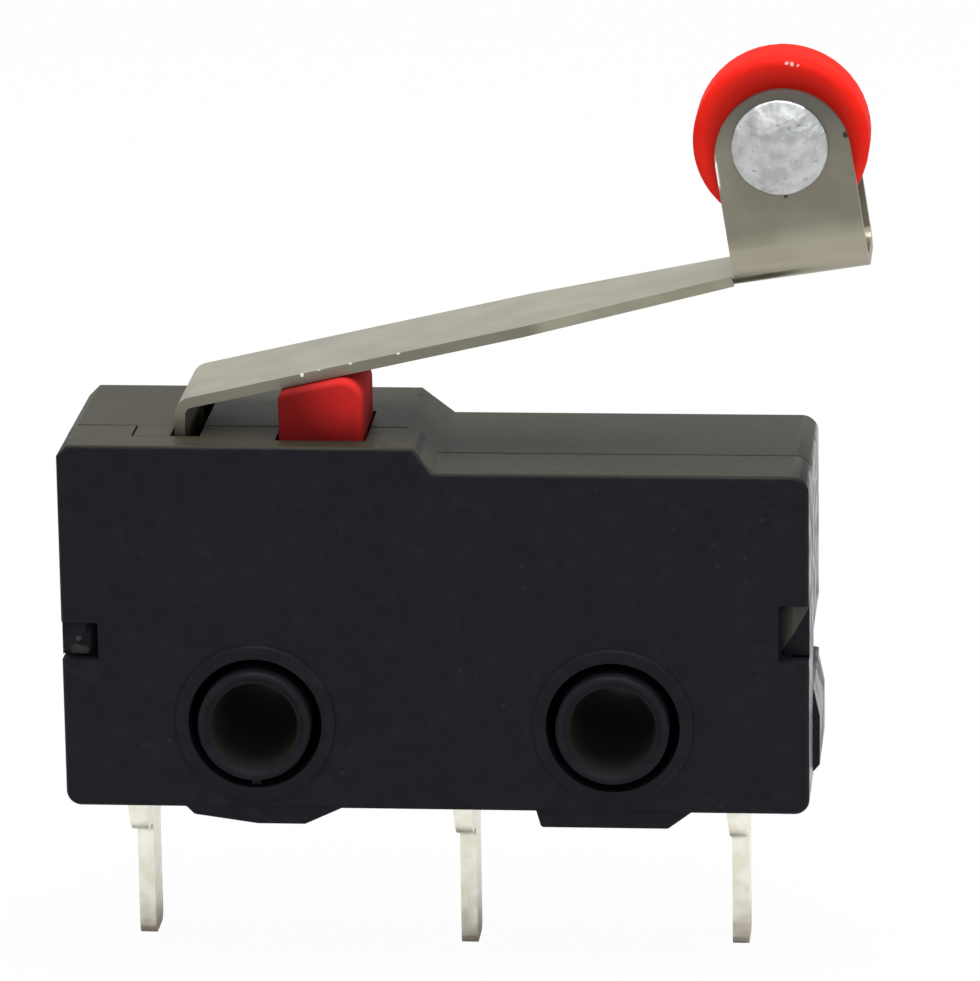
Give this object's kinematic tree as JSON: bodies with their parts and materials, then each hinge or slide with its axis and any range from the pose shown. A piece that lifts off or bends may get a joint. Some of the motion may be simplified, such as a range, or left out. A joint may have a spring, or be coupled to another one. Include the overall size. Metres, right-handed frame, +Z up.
{
  "type": "lever switch",
  "caption": "Subminiature snap-action switch: dark moulded housing, red plunger, hinged sheet lever with a red roller, and straight solder pins below.",
  "frame": {"origin": "midway between the axes of the two mounting holes, on the flat rear face", "axes": "+X along the housing from the lever's hinge towards its roller, +Y square to the rear face and pointing away from the cover, +Z up from the pins towards the roller"},
  "size_m": [0.0215, 0.0068, 0.0246],
  "materials": {
    "case": "moulded thermoset, satin",
    "cover": "moulded thermoset, satin",
    "plunger": "moulded, satin",
    "lever": "rolled sheet, satin",
    "roller": "moulded, glossy",
    "rivet": "upset head, lightly hammered",
    "terminal": "plated, tinned tips",
    "contact": "silver, satin",
    "spring": "rolled copper alloy strip"
  },
  "bodies": {
    "base": {"case": "case", "cover": "cover", "com_terminal": "terminal", "no_terminal": "terminal", "nc_terminal": "terminal", "no_contact": "contact", "nc_contact": "contact"},
    "lever_arm": {"lever": "lever", "roller_rivet": "rivet"},
    "roller_wheel": {"roller": "roller"},
    "push_pin": {"plunger": "plunger"},
    "contact_arm": {"moving_blade": "spring", "moving_contact": "contact", "bow_spring": "spring"}
  },
  "joints": [
    {"name": "lever_hinge", "type": "hinge", "parent": "base", "child": "lever_arm", "pos_m": [-0.00675, -0.0032, 0.00715], "axis": [0, 1, 0], "range_deg": [0, 12], "stiffness_Nm_per_rad": 0.02, "springref_deg": -8.59},
    {"name": "plunger_slide", "type": "slide", "parent": "base", "child": "push_pin", "axis": [0, 0, -1], "range_m": [0, 0.001]},
    {"name": "contact_swing", "type": "hinge", "parent": "base", "child": "contact_arm", "pos_m": [-0.00813, -0.0032, 0.00414], "axis": [0, 1, 0], "range_deg": [0, 1.9], "deforming": ["moving_blade", "bow_spring"]},
    {"name": "roller_spin", "type": "hinge", "parent": "lever_arm", "child": "roller_wheel", "pos_m": [0.00912, -0.0032, 0.01528], "axis": [0, 1, 0], "continuous": true}
  ],
  "couplings": [
    {"joint": "plunger_slide", "follows": "lever_hinge", "m_per_rad": 0.00456},
    {"joint": "contact_swing", "follows": "lever_hinge", "ratio": 0.15417}
  ]
}
